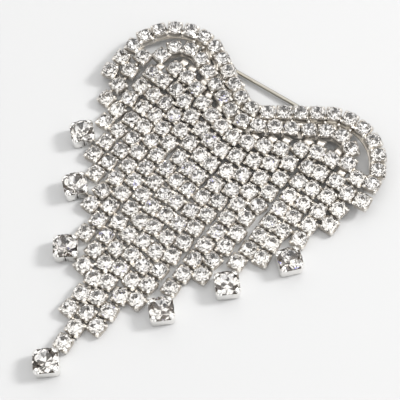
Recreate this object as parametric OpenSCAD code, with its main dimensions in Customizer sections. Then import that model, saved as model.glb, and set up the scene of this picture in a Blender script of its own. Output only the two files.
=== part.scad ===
/* [Chain] */
// Side of a small square cup
cup_w = 3.2; // [2.9:0.05:3.25]
// Length of a hanging cup along its strand
cup_l = 3.5; // [3.2:0.05:3.6]
// Height of a small cup's wall
cup_h = 1.6; // [1.2:0.1:2]
// Corner to corner width of a small stone's girdle
stone_d = 3.04; // [2.6:0.02:3.04]
// Height of a small stone's crown above its girdle
crown_h = 0.95; // [0.6:0.05:1.2]
// Sideways spacing of the strands where they leave the frame
strand_step = 3.4; // [3.35:0.05:3.6]
// Sideways sway of the hanging chains between their tops and their ends
sway = 2.5; // [0:0.1:2.8]

/* [Frame] */
// Height of the cups of the soldered frame above the resting plane
frame_lift = 2.2; // [2:0.1:3]
// Radius of the outer arch row round each lobe
outer_lobe_r = 11.2; // [10.5:0.1:12]
// Radius of the inner arch row round each lobe
inner_lobe_r = 5.05; // [5:0.05:5.3]
// Width of the backing strips
strip_w = 2.4; // [1.6:0.1:3]
// Thickness of the backing strips
strip_t = 0.5; // [0.4:0.05:0.6]

/* [End settings] */
// Side of a large square setting
setting_w = 5.1; // [4.8:0.05:5.2]
// Height of a large setting's wall
setting_h = 3.2; // [2.6:0.1:3.6]
// Corner to corner width of a large stone's girdle
big_stone_d = 4.74; // [4.4:0.02:4.76]

/* [Pin] */
// Radius of the pin stem
stem_r = 0.45; // [0.35:0.05:0.5]
// Distance from the hinge's rivet to the point of the stem
stem_len = 35.5; // [34:0.5:37]
// Radius of the rivet
rivet_r = 0.3; // [0.25:0.05:0.35]
// Clearance between the rivet and the stem's eye
rivet_gap = 0.05; // [0.03:0.01:0.08]

/* [Hidden] */

silver = [0.80, 0.80, 0.79];
steel = [0.66, 0.65, 0.62];
crystal = [0.90, 0.92, 0.93];

// The plan is drawn with the lowest stone at y = 0 and then moved, so that the origin
// lies at the middle of the outline, on the resting plane.
plan_mid = [-0.24, 39.35];

// An arch row is half a plan curve: a round dip, a straight rise, a round lobe.
LOBE_X = 0;
LOBE_Y = 1;
LOBE_R = 2;
RISE = 3;
DIP_R = 4;
CUPS = 5;
PITCH = 6;
outer_row = [20, 69.1, outer_lobe_r, 33.3, 6, 11, 3.64];
inner_row = [19.4, 70.7, inner_lobe_r, 29.5, 8, 8, 3.7];

// Table of the strands, from the centre out, a row for each pair: number of small stones,
// plan y of the first and last stone, plan x of the last stone before the drift.
STONES = 0;
FIRST_Y = 1;
LAST_Y = 2;
LAST_X = 3;
strands = [
    [16, 62.45, 5.2, 0.0],
    [14, 63.2, 11.6, 3.45],
    [12, 64.35, 20.65, 6.8],
    [11, 65.8, 26.7, 10.9],
    [10, 68.15, 32.65, 14.25],
    [9, 69.45, 39.05, 18.3],
    [8, 69.75, 42.65, 21.7],
    [5, 65.85, 50.65, 25.2]];
// The outermost strand carries on from the end of the inner arch row.
outermost = 7;
outermost_x = 24;

// Table of the end settings: strand, plan x before the drift, plan y, turn in degrees.
END_X = 1;
END_Y = 2;
END_TURN = 3;
ends = [
    [0, -0.1, 0.0, 40],
    [-3, -11.9, 21.5, 36],
    [3, 12.35, 21.5, 42],
    [-5, -19.35, 34.0, 48],
    [5, 19.85, 33.5, 41],
    [-7, -26.7, 45.1, 46],
    [7, 26.7, 45.1, 48]];

// The short tails beside the lobes: stones, first x and y, last x and y.
tail_left_in = [4, -27.85, 68.2, -28.6, 55.5];
tail_left_out = [2, -31.6, 65.45, -31.9, 61.45];
tail_right_in = [4, 27.85, 68.9, 28.4, 57.1];
tail_right_out = [1, 31.55, 64.9, 31.55, 61.0];

link_w = 0.9;
link_t = 0.4;
link_z = 0.5;
link_gap = 0.15;
claw_w = 0.5;
claw_out = 0.5;
claw_rise = 0.5;
sink = 0.1;
small_seat = 0.6;
big_seat = 1.2;
seat_gap = 0.05;
recess_gap = 0.05;
cup_gap = 0.12;
facets = 8;
facet_turn = 180 / facets;
table_ratio = 0.56;
drop_steps = 5;

// The chains hang a little to the right at the top and sway to the left between two levels.
top_shift = 0.6;
sway_top_y = 69.2;
sway_low_y = 23.8;

strip_sink = 0.05;
strip_z = frame_lift - strip_t + strip_sink;
outer_strip_shift = 0.65;
inner_strip_shift = 0.45;
// The outer strip's ends are set out, clear of the tails, up to a turn on each lobe.
end_strip_shift = 0.2;
end_strip_turn = 20;
wide_strip_turn = 15;
bar_w = 1.2;
bar_x = [0, 6.5, 13, 20];
setting_corner_r = 0.8;
setting_claw_w = 0.9;
setting_claw_out = 0.7;
setting_crown_h = 0.95;

hinge_x = -16.5;
pin_y = 78.1;
ear_r = 0.8;
ear_t = 0.6;
eye_r = 0.72;
eye_t = 2 * stem_r;
eye_play = 0.1;
pad_len = 3.4;
pad_w = 2.9;
catch_x = 16.5;
catch_len = 2.6;
catch_play = 0.25;
cheek_t = 0.5;
foot_gap = 0.05;
point_len = 2.4;
point_r = 0.06;
overlap = 0.1;
margin = 1;

function to_deg(turns_rad) = turns_rad * 180 / PI;
function to_rad(deg) = deg * PI / 180;

// Lengths of the dip, the rise and the lobe of an arch row.
function dip_len(row) = row[DIP_R] * to_rad(row[RISE]);
function rise_end(row) = [row[LOBE_X] - row[LOBE_R] * sin(row[RISE]),
                          row[LOBE_Y] + row[LOBE_R] * cos(row[RISE])];
function rise_len(row) = (rise_end(row).x - row[DIP_R] * sin(row[RISE])) / cos(row[RISE]);
function dip_centre_y(row) = rise_end(row).y - rise_end(row).x * tan(row[RISE])
                             + row[DIP_R] / cos(row[RISE]);

// Place on an arch row at a distance from the middle, as [x, y, direction].
function arch_at(row, dist) =
    let (d1 = dip_len(row), d2 = d1 + rise_len(row), dip_turn = to_deg(dist / row[DIP_R]),
         lobe_turn = 90 + row[RISE] - to_deg((dist - d2) / row[LOBE_R]))
    dist <= d1
        ? [row[DIP_R] * sin(dip_turn), dip_centre_y(row) - row[DIP_R] * cos(dip_turn), dip_turn]
    : dist <= d2
        ? [rise_end(row).x - (d2 - dist) * cos(row[RISE]),
           rise_end(row).y - (d2 - dist) * sin(row[RISE]), row[RISE]]
        : [row[LOBE_X] + row[LOBE_R] * cos(lobe_turn),
           row[LOBE_Y] + row[LOBE_R] * sin(lobe_turn), lobe_turn - 90];

// All places of a row's cups, left to right, as [x, y, direction].
function arch_places(row) =
    [for (k = [-row[CUPS]:row[CUPS]])
        let (p = arch_at(row, abs(k) * row[PITCH]), side = k < 0 ? -1 : 1)
        [side * p.x, p.y, side * p.z]];

// A smooth step from 0 to 1, and its slope.
function ease(share) = let (u = max(0, min(share, 1))) u * u * (3 - 2 * u);
function ease_slope(share) = let (u = max(0, min(share, 1))) 6 * u * (1 - u);

// Sideways drift of a hanging chain at a plan y, and its slope.
sway_span = sway_top_y - sway_low_y;
function drift(y) = top_shift - sway * ease((sway_top_y - y) / sway_span);
function drift_slope(y) = sway * ease_slope((sway_top_y - y) / sway_span) / sway_span;

// Height and forward tilt of a chain's cup, counted from the frame down.
function drop_z(k) = frame_lift * (1 - ease((k + 1) / drop_steps));
function drop_tilt(k, pitch) =
    atan(ease_slope((k + 1) / drop_steps) * frame_lift / (drop_steps * pitch));

function ring(r, z, turn) =
    [for (k = [0:facets - 1])
        [r * cos(360 / facets * k + turn), r * sin(360 / facets * k + turn), z]];

// A cut stone: a flat table, a belt of triangles down to the girdle, and a straight body.
module cut_stone(girdle_r, rise, depth) {
    n = facets;
    last = n - 1;
    polyhedron(
        points = concat(ring(girdle_r * table_ratio, rise, 0), ring(girdle_r, 0, facet_turn),
                        ring(girdle_r, -depth, facet_turn)),
        faces = concat(
            [[for (k = [last:-1:0]) k]],
            [for (k = [0:last]) [k, n + k, n + (k + last) % n]],
            [for (k = [0:last]) [k, (k + 1) % n, n + k]],
            [for (k = [0:last])
                [n + k, n + (k + 1) % n, 2 * n + (k + 1) % n, 2 * n + k]],
            [[for (k = [0:last]) 2 * n + k]]));
}

// Four claws that stand on a cup's corners.
module claws(inner_r, length, width, z, rise) {
    for (quarter = [0:3])
        rotate(45 + 90 * quarter)
            translate([inner_r, -width / 2, z - overlap])
                cube([length, width, rise + overlap]);
}

// One chain unit: a closed cup with its stone, and a link towards the next cup.
module chain_unit(link_len) {
    translate([-cup_w / 2, -cup_l / 2, 0])
        cube([cup_w, cup_l, cup_h]);
    claws(stone_d / 2, claw_out, claw_w, cup_h, claw_rise);
    translate([0, 0, cup_h - sink])
        cut_stone(stone_d / 2, crown_h + sink, sink);
    if (link_len > 0)
        translate([-link_w / 2, -cup_l / 2 - link_len, link_z])
            cube([link_w, link_len + overlap, link_t]);
}

// A chain from one plan point to another, drooping from the frame to the plane. It takes
// a share of the drift, and each cup turns with the chain's line.
module chain(count, from, to, share) {
    last = max(count - 1, 1);
    pitch = norm(to - from) / last;
    slope = (to.x - from.x) / (to.y - from.y);
    for (k = [0:count - 1])
        let (place = from + (to - from) * k / last)
            translate([place.x + share * drift(place.y), place.y, drop_z(k)])
                rotate(-atan(slope + share * drift_slope(place.y)))
                    rotate([drop_tilt(k, pitch), 0, 0])
                        chain_unit(k < count - 1 ? pitch - cup_l - link_gap : 0);
}

module on_plan() {
    translate([-plan_mid.x, -plan_mid.y, 0])
        children();
}

module strand(number) {
    side = number < 0 ? -1 : 1;
    row = strands[abs(number)];
    top_x = abs(number) == outermost ? outermost_x : abs(number) * strand_step;
    color(silver)
        on_plan()
            chain(row[STONES], [side * top_x, row[FIRST_Y]],
                  [side * row[LAST_X], row[LAST_Y]], 1);
}

module tail(row) {
    color(silver)
        on_plan()
            chain(row[0], [row[1], row[2]], [row[3], row[4]], 0);
}

// A square block with round upright edges.
module round_block(side, corner_r, height) {
    inner = side / 2 - corner_r;
    translate([-side / 2, -inner, 0])
        cube([side, 2 * inner, height]);
    translate([-inner, -side / 2, 0])
        cube([2 * inner, side, height]);
    for (x = [-inner, inner], y = [-inner, inner])
        translate([x, y, 0])
            cylinder(r = corner_r, h = height, $fn = 32);
}

// Recess that holds a stone, wider than the stone by the gap all round.
module stone_recess(girdle_d, depth, rim, top) {
    translate([0, 0, rim - depth])
        rotate(facet_turn)
            cylinder(r = girdle_d / 2 + recess_gap, h = depth + top - rim, $fn = facets);
}

module at_end(number) {
    row = ends[search(number, ends)[0]];
    on_plan()
        translate([row[END_X] + drift(row[END_Y]), row[END_Y], 0])
            rotate(row[END_TURN])
                children();
}

module end_setting(number) {
    color(silver)
        at_end(number) {
            difference() {
                union() {
                    round_block(setting_w, setting_corner_r, setting_h);
                    claws(big_stone_d / 2 - overlap, setting_claw_out, setting_claw_w,
                          setting_h, claw_rise);
                }
                stone_recess(big_stone_d, big_seat + seat_gap, setting_h,
                             setting_h + 2 * claw_rise);
            }
        }
}

module end_stone(number) {
    color(crystal)
        at_end(number)
            translate([0, 0, setting_h])
                cut_stone(big_stone_d / 2, setting_crown_h, big_seat);
}

// Room that a neighbour's cup takes up beyond the line halfway to it.
module beyond_halfway(place, other, side) {
    halfway = ([other.x, other.y] - [place.x, place.y]) / 2;
    rotate(-place.z)
        translate([halfway.x, halfway.y, -margin])
            rotate((place.z + other.z) / 2)
                translate([side > 0 ? cup_gap / 2 : -cup_w - cup_gap / 2, -cup_w, 0])
                    cube([cup_w, 2 * cup_w, cup_h + claw_rise + 2 * margin]);
}

// The cups of an arch row, open on top for their stones, each with its inner corners
// filed back where the row bends.
module arch_cups(row) {
    places = arch_places(row);
    last = len(places) - 1;
    on_plan()
        for (k = [0:last])
            translate([places[k].x, places[k].y, frame_lift])
                rotate(places[k].z)
                    difference() {
                        union() {
                            translate([-cup_w / 2, -cup_w / 2, 0])
                                cube([cup_w, cup_w, cup_h]);
                            claws(stone_d / 2 - overlap, claw_out + overlap, claw_w, cup_h,
                                  claw_rise);
                        }
                        stone_recess(stone_d, small_seat + seat_gap, cup_h,
                                     cup_h + 2 * claw_rise);
                        if (k > 0)
                            beyond_halfway(places[k], places[k - 1], -1);
                        if (k < last)
                            beyond_halfway(places[k], places[k + 1], 1);
                    }
}

module at_places(row) {
    on_plan()
        for (place = arch_places(row))
            translate([place.x, place.y, frame_lift])
                rotate(place.z)
                    children();
}

module arch_stones(row) {
    color(crystal)
        at_places(row)
            translate([0, 0, cup_h])
                cut_stone(stone_d / 2, crown_h, small_seat);
}

module arc_strip(centre, radius, from_deg, to_deg) {
    translate([centre.x, centre.y, strip_z])
        rotate(from_deg)
            rotate_extrude(angle = to_deg - from_deg, $fn = 96)
                translate([radius - strip_w / 2, 0])
                    square([strip_w, strip_t]);
}

// Flat backing strip under an arch row, set inwards by a shift, down to a turn on the lobes.
module arch_strip(row, shift, end_turn) {
    arc_strip([0, dip_centre_y(row)], row[DIP_R] + shift, 270 - row[RISE], 270 + row[RISE]);
    for (side = [0, 1])
        mirror([side, 0, 0]) {
            translate([rise_end(row).x, rise_end(row).y, strip_z])
                rotate(row[RISE])
                    translate([-rise_len(row) - overlap, -strip_w / 2 - shift, 0])
                        cube([rise_len(row) + 2 * overlap, strip_w, strip_t]);
            arc_strip([row[LOBE_X], row[LOBE_Y]], row[LOBE_R] - shift, end_turn, 90 + row[RISE]);
        }
}

module strip_ends(row) {
    for (side = [0, 1])
        mirror([side, 0, 0])
            arc_strip([row[LOBE_X], row[LOBE_Y]], row[LOBE_R] - end_strip_shift, 0,
                      end_strip_turn);
}

// Bars that join the two strips behind the cups, at chosen distances from the middle.
module cross_bars() {
    for (k = [1 - len(bar_x):len(bar_x) - 1])
        let (x = bar_x[abs(k)], side = k < 0 ? -1 : 1, low = row_y(inner_row, x))
            translate([side * x - bar_w / 2, low, strip_z])
                cube([bar_w, row_y(outer_row, x) - low, strip_t]);
}

// Plan y of an arch row at a plan x, on the rise or the upper lobe.
function row_y(row, x) =
    x < row[DIP_R] * sin(row[RISE])
        ? dip_centre_y(row) - sqrt(row[DIP_R] * row[DIP_R] - x * x)
    : x < rise_end(row).x
        ? rise_end(row).y - (rise_end(row).x - x) * tan(row[RISE])
        : row[LOBE_Y] + sqrt(row[LOBE_R] * row[LOBE_R] - (x - row[LOBE_X]) * (x - row[LOBE_X]));

// Plate under the strip that carries a pin fitting.
module fitting_pad(x) {
    translate([x - pad_len / 2, pin_y - ear_t - eye_t / 2 - eye_play, strip_z])
        cube([pad_len, pad_w, strip_t]);
}

module hinge_ears() {
    fitting_pad(hinge_x);
    for (side = [-1, 1])
        translate([hinge_x, pin_y + side * (eye_t / 2 + eye_play + ear_t / 2), 0]) {
            translate([0, 0, ear_r])
                rotate([90, 0, 0])
                    cylinder(r = ear_r, h = ear_t, center = true, $fn = 48);
            translate([-ear_r, -ear_t / 2, ear_r])
                cube([2 * ear_r, ear_t, strip_z + overlap - ear_r]);
        }
    translate([hinge_x, pin_y, ear_r])
        rotate([90, 0, 0])
            cylinder(r = rivet_r, h = eye_t + 2 * eye_play + ear_t, center = true, $fn = 48);
}

// Plain open catch: two cheeks that stand beside the stem.
module catch() {
    fitting_pad(catch_x);
    for (side = [-1, 1])
        translate([catch_x - catch_len / 2,
                   pin_y + side * (stem_r + catch_play + cheek_t / 2) - cheek_t / 2, foot_gap])
            cube([catch_len, cheek_t, strip_z + overlap - foot_gap]);
}

module crown_frame() {
    color(silver) {
        arch_cups(outer_row);
        arch_cups(inner_row);
        on_plan() {
            arch_strip(outer_row, outer_strip_shift, wide_strip_turn);
            strip_ends(outer_row);
            arch_strip(inner_row, inner_strip_shift, 0);
            cross_bars();
            hinge_ears();
            catch();
        }
    }
}

// Stem with its eye round the rivet and a sharpened point.
module pin_stem() {
    shaft_len = stem_len - point_len;
    color(steel)
        on_plan()
            translate([hinge_x, pin_y, ear_r])
                difference() {
                    union() {
                        rotate([90, 0, 0])
                            cylinder(r = eye_r, h = eye_t, center = true, $fn = 48);
                        rotate([0, 90, 0])
                            cylinder(r = stem_r, h = shaft_len, $fn = 48);
                        translate([shaft_len, 0, 0])
                            rotate([0, 90, 0])
                                cylinder(r1 = stem_r, r2 = point_r, h = point_len, $fn = 48);
                    }
                    rotate([90, 0, 0])
                        cylinder(r = rivet_r + rivet_gap, h = eye_t + margin, center = true,
                                 $fn = 48);
                }
}

crown_frame();
arch_stones(outer_row);  // outer_arch_stones
arch_stones(inner_row);  // inner_arch_stones
strand(0);  // strand_centre
strand(-1);  // strand_left_1
strand(-2);  // strand_left_2
strand(-3);  // strand_left_3
strand(-4);  // strand_left_4
strand(-5);  // strand_left_5
strand(-6);  // strand_left_6
strand(-7);  // strand_left_7
strand(1);  // strand_right_1
strand(2);  // strand_right_2
strand(3);  // strand_right_3
strand(4);  // strand_right_4
strand(5);  // strand_right_5
strand(6);  // strand_right_6
strand(7);  // strand_right_7
tail(tail_left_in);  // tail_left_inner
tail(tail_left_out);  // tail_left_outer
tail(tail_right_in);  // tail_right_inner
tail(tail_right_out);  // tail_right_outer
end_setting(0);  // end_setting_centre
end_setting(-3);  // end_setting_left_3
end_setting(-5);  // end_setting_left_5
end_setting(-7);  // end_setting_left_7
end_setting(3);  // end_setting_right_3
end_setting(5);  // end_setting_right_5
end_setting(7);  // end_setting_right_7
end_stone(0);  // end_stone_centre
end_stone(-3);  // end_stone_left_3
end_stone(-5);  // end_stone_left_5
end_stone(-7);  // end_stone_left_7
end_stone(3);  // end_stone_right_3
end_stone(5);  // end_stone_right_5
end_stone(7);  // end_stone_right_7
pin_stem();
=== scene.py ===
"""Looks of a tassel brooch: stone-set cup chains under a soldered double arch.

All lengths in this file are millimetres on the plan of the brooch (lowest stone at y = 0)
until a shape is put into its mesh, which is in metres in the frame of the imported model.
"""

import logging
import math
from dataclasses import dataclass, field, replace
from enum import Enum, IntEnum
from typing import Iterable, Sequence

import bpy
import numpy as np
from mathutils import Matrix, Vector


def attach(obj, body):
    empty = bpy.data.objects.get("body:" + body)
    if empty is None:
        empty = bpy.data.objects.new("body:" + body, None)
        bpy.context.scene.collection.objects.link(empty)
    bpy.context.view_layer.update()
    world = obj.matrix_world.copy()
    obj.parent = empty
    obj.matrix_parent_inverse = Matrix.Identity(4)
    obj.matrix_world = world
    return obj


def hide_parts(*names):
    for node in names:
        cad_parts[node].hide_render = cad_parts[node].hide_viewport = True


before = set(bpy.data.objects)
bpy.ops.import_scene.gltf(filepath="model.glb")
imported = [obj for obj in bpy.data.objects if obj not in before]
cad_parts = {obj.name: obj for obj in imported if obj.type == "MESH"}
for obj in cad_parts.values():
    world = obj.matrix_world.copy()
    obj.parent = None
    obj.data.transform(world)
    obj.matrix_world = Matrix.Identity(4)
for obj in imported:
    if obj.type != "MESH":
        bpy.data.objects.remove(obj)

LOG = logging.getLogger("tassel_brooch")
MM = 0.001
PLAN_MID = np.array([-0.24, 39.35, 0.0])
BODY = "brooch"
# Sockets of a colour Mix node: its two colours and its result.
MIX_A, MIX_B, MIX_RESULT = 6, 7, 2


class Side(Enum):
    """Left and right half of the brooch, as the sign of its x."""

    LEFT = -1
    RIGHT = 1


class Slot(Enum):
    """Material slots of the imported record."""

    SILVER = "silver_plate"
    CHAIN = "set_chain"
    CRYSTAL = "crystal"


class Coat(IntEnum):
    """What covers a face of a stone-set piece: its place in the piece's list of materials."""

    POLISHED = 0
    GLASS = 1
    FOIL = 2
    # SHADED and RIM: the plating darkened as painted shade between the cups.
    SHADED = 3
    # Foil painted dark, standing for dark reflections in the stone.
    PAINTED_DARK_FOIL = 4
    RIM = 5


class CastCoat(IntEnum):
    """What covers a face of a large setting."""

    SMOOTH = 0
    # The seam, a dark joint, and painted shade at the slot and under the stone.
    SEAM_AND_PAINTED_SHADE = 1


def linear(hex_colour: str) -> tuple[float, float, float, float]:
    """Turns an sRGB hex colour into linear RGBA.

    Args:
        hex_colour: six hex digits.

    Returns:
        Red, green, blue and alpha, each from 0 to 1.
    """
    parts = [int(hex_colour[i:i + 2], 16) / 255 for i in (0, 2, 4)]
    lin = [p / 12.92 if p <= 0.04045 else ((p + 0.055) / 1.055) ** 2.4 for p in parts]
    return (lin[0], lin[1], lin[2], 1.0)


def add_node(tree: bpy.types.NodeTree, kind: str, settings: dict | None = None,
             links: dict | None = None) -> bpy.types.Node:
    """Adds one node with its settings and its incoming links.

    Args:
        tree: the node tree that takes the node.
        kind: the node's type name.
        settings: input sockets, by name or number, or node attributes, with their values.
        links: input sockets, each with the output socket that feeds it.

    Returns:
        The new node.
    """
    node = tree.nodes.new(kind)
    for name, value in (settings or {}).items():
        if isinstance(name, int) or name in node.inputs:
            node.inputs[name].default_value = value
        else:
            setattr(node, name, value)
    for name, source in (links or {}).items():
        tree.links.new(source, node.inputs[name])
    return node


def patches(tree: bpy.types.NodeTree, place: bpy.types.NodeSocket, size_mm: float,
            detail: float, tones: tuple[str, str]
            ) -> tuple[bpy.types.NodeSocket, bpy.types.NodeSocket]:
    """Mixes two tones in soft patches.

    Args:
        tree: the material's node tree.
        place: output socket that gives the place on the piece.
        size_mm: size of a patch.
        detail: octaves of finer patches inside.
        tones: the two sRGB hex colours.

    Returns:
        The patches as a value from 0 to 1, and as a colour.
    """
    noise = add_node(tree, "ShaderNodeTexNoise",
                     {"Scale": 1.0 / (size_mm * MM), "Detail": detail}, {"Vector": place})
    tint = add_node(tree, "ShaderNodeMix",
                    {"data_type": "RGBA", MIX_A: linear(tones[0]), MIX_B: linear(tones[1])},
                    {"Factor": noise.outputs["Fac"]})
    return noise.outputs["Fac"], tint.outputs[MIX_RESULT]


class Finish:
    """What all finishes share: each is one material, with nodes of its own."""

    name: str

    def shader(self, tree: bpy.types.NodeTree) -> tuple[dict, dict]:
        """Adds the finish's own nodes and gives the surface shader's settings and links."""
        raise NotImplementedError

    def material(self) -> bpy.types.Material:
        """Builds the material: the finish's own nodes, the surface shader and the output.

        Returns:
            The new material.
        """
        mat = bpy.data.materials.new(self.name)
        mat.use_nodes = True
        tree = mat.node_tree
        tree.nodes.clear()
        shader = add_node(tree, "ShaderNodeBsdfPrincipled", *self.shader(tree))
        add_node(tree, "ShaderNodeOutputMaterial", None, {"Surface": shader.outputs["BSDF"]})
        return mat


@dataclass(frozen=True)
class SilverPlating(Finish):
    """Silver plating, stamped and polished: bright, with soft small ripples left by the die."""

    name: str = "silver_plating_polished"
    tones: tuple[str, str] = ("EEEBE6", "D9D4CC")
    roughness: tuple[float, float] = (0.10, 0.24)
    ripple_mm: float = 0.8
    bump: float = 0.12
    relief_mm: float = 0.05

    def shader(self, tree: bpy.types.NodeTree) -> tuple[dict, dict]:
        """Ripples of the die's size in tone, roughness and relief.

        Args:
            tree: the material's node tree.

        Returns:
            Settings and links of the surface shader.
        """
        place = add_node(tree, "ShaderNodeTexCoord").outputs["Object"]
        ripple, tint = patches(tree, place, self.ripple_mm, 2.0, self.tones)
        rough = add_node(tree, "ShaderNodeMapRange",
                         {"From Min": 0.3, "From Max": 0.7, "To Min": self.roughness[0],
                          "To Max": self.roughness[1]}, {"Value": ripple})
        bump = add_node(tree, "ShaderNodeBump",
                        {"Strength": self.bump, "Distance": self.relief_mm * MM},
                        {"Height": ripple})
        return {"Metallic": 1.0}, {"Base Color": tint, "Roughness": rough.outputs["Result"],
                                   "Normal": bump.outputs["Normal"]}


@dataclass(frozen=True)
class ShadedPlating(Finish):
    """The same plating low between the cups: rough, and darker and browner as painted shade."""

    name: str = "silver_plating_shaded"
    tones: tuple[str, str] = ("DEDAD4", "B8B2A9")
    roughness: float = 0.4
    patch_mm: float = 0.5

    def shader(self, tree: bpy.types.NodeTree) -> tuple[dict, dict]:
        """Dull metal in patches of about half a millimetre."""
        place = add_node(tree, "ShaderNodeTexCoord").outputs["Object"]
        return ({"Metallic": 1.0, "Roughness": self.roughness},
                {"Base Color": patches(tree, place, self.patch_mm, 2.0, self.tones)[1]})


@dataclass(frozen=True)
class StoneFoil(Finish):
    """Silver foil fired onto the back of a cut glass stone: a mirror seen through the glass."""

    name: str = "stone_foil_silver"
    tones: tuple[str, str] = ("F0EFED", "CFCCC7")
    roughness: float = 0.04
    patch_mm: float = 0.5
    flash: str = "9C98F0"
    flash_mm: float = 0.7

    def shader(self, tree: bpy.types.NodeTree) -> tuple[dict, dict]:
        """Foil that is a little duller in patches.

        A few spots of one facet's size are violet-blue: they stand for the split light that
        such a stone throws.

        Args:
            tree: the material's node tree.

        Returns:
            Settings and links of the surface shader.
        """
        place = add_node(tree, "ShaderNodeTexCoord").outputs["Object"]
        tint = patches(tree, place, self.patch_mm, 1.0, self.tones)[1]
        spots = add_node(tree, "ShaderNodeTexNoise",
                         {"Scale": 1.0 / (self.flash_mm * MM), "Detail": 0.0},
                         {"Vector": place})
        rare = add_node(tree, "ShaderNodeMapRange", {"From Min": 0.82, "From Max": 0.86},
                        {"Value": spots.outputs["Fac"]})
        lit = add_node(tree, "ShaderNodeMix", {"data_type": "RGBA", MIX_B: linear(self.flash)},
                       {"Factor": rare.outputs["Result"], MIX_A: tint})
        return ({"Metallic": 1.0, "Roughness": self.roughness},
                {"Base Color": lit.outputs[MIX_RESULT]})


@dataclass(frozen=True)
class CutGlass(Finish):
    """Clear machine-cut crystal glass: polished flat facets with a hard gloss."""

    name: str = "crystal_glass_cut"
    tones: tuple[str, str] = ("FDFDFD", "F1F1F4")
    ior: float = 1.56
    patch_mm: float = 4.0

    def shader(self, tree: bpy.types.NodeTree) -> tuple[dict, dict]:
        """Clear glass, with the faintest grey variation from stone to stone."""
        place = add_node(tree, "ShaderNodeTexCoord").outputs["Object"]
        return ({"Transmission Weight": 1.0, "Roughness": 0.0, "IOR": self.ior},
                {"Base Color": patches(tree, place, self.patch_mm, 0.0, self.tones)[1]})


@dataclass(frozen=True)
class PinWire(Finish):
    """Nickel-plated drawn steel wire: a satin grey with fine lines along its length."""

    name: str = "nickel_steel_wire_drawn"
    tones: tuple[str, str] = ("ABA79E", "8D897F")
    roughness: float = 0.32
    # Real drawing lines are finer: 0.2 mm is as coarse as they need to show.
    line_mm: float = 0.2
    stretch: float = 0.05

    def shader(self, tree: bpy.types.NodeTree) -> tuple[dict, dict]:
        """Satin metal, its patches drawn out twenty times along the wire.

        Args:
            tree: the material's node tree.

        Returns:
            Settings and links of the surface shader.
        """
        place = add_node(tree, "ShaderNodeTexCoord").outputs["Object"]
        drawn = add_node(tree, "ShaderNodeMapping", {"Scale": (self.stretch, 1.0, 1.0)},
                         {"Vector": place}).outputs["Vector"]
        tint = patches(tree, drawn, self.line_mm, 2.0, self.tones)[1]
        return {"Metallic": 1.0, "Roughness": self.roughness}, {"Base Color": tint}


@dataclass(frozen=True)
class PaleBoard(Finish):
    """Smooth pale photographic board under the brooch: matt, nearly white."""

    name: str = "pale_matt_board"
    colour: str = "ACACAC"

    def shader(self, tree: bpy.types.NodeTree) -> tuple[dict, dict]:
        """An even matt surface."""
        return {"Base Color": linear(self.colour), "Roughness": 0.8,
                "Specular IOR Level": 0.2}, {}


@dataclass
class Finishes:
    """The brooch's materials, made once."""

    shade: bpy.types.Material = field(default_factory=ShadedPlating().material)
    silver: bpy.types.Material = field(default_factory=SilverPlating().material)
    # Smooth cast wall of a large setting: nearly white, with wide shallow ripples.
    smooth: bpy.types.Material = field(default_factory=SilverPlating(
        "silver_plating_smooth", ("FCFBF9", "F3F1ED"), (0.16, 0.26), 2.0, 0.04).material)
    # Rim between the claws, which lies in the stone's shade: a mid grey of painted shade.
    rim: bpy.types.Material = field(default_factory=ShadedPlating(
        "silver_plating_rim_painted_shade", ("BBB5AD", "938C82")).material)
    # Seams and recesses of a large setting: the seam a dark joint, and painted shade at
    #     # the wire's slot, between the claws and under the stone's edge.
    recess: bpy.types.Material = field(default_factory=ShadedPlating(
        "silver_plating_tarnished", ("5A534A", "37322C"), 0.45).material)
    glass: bpy.types.Material = field(default_factory=CutGlass().material)
    foil: bpy.types.Material = field(default_factory=StoneFoil().material)
    # Back facets painted dark: painted dark reflections, dark wedges in the stone.
    painted_dark_facets: bpy.types.Material = field(default_factory=StoneFoil(
        "stone_foil_painted_dark", ("6B6259", "3E3833"), 0.2).material)
    wire: bpy.types.Material = field(default_factory=PinWire().material)
    board: bpy.types.Material = field(default_factory=PaleBoard().material)

    def set_chain(self) -> list[bpy.types.Material]:
        """Materials of a stone-set piece, in the order of Coat."""
        return [self.silver, self.glass, self.foil, self.shade, self.painted_dark_facets, self.rim]

    def cast(self) -> list[bpy.types.Material]:
        """Materials of a large setting, in the order of CastCoat."""
        return [self.smooth, self.recess]


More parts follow.
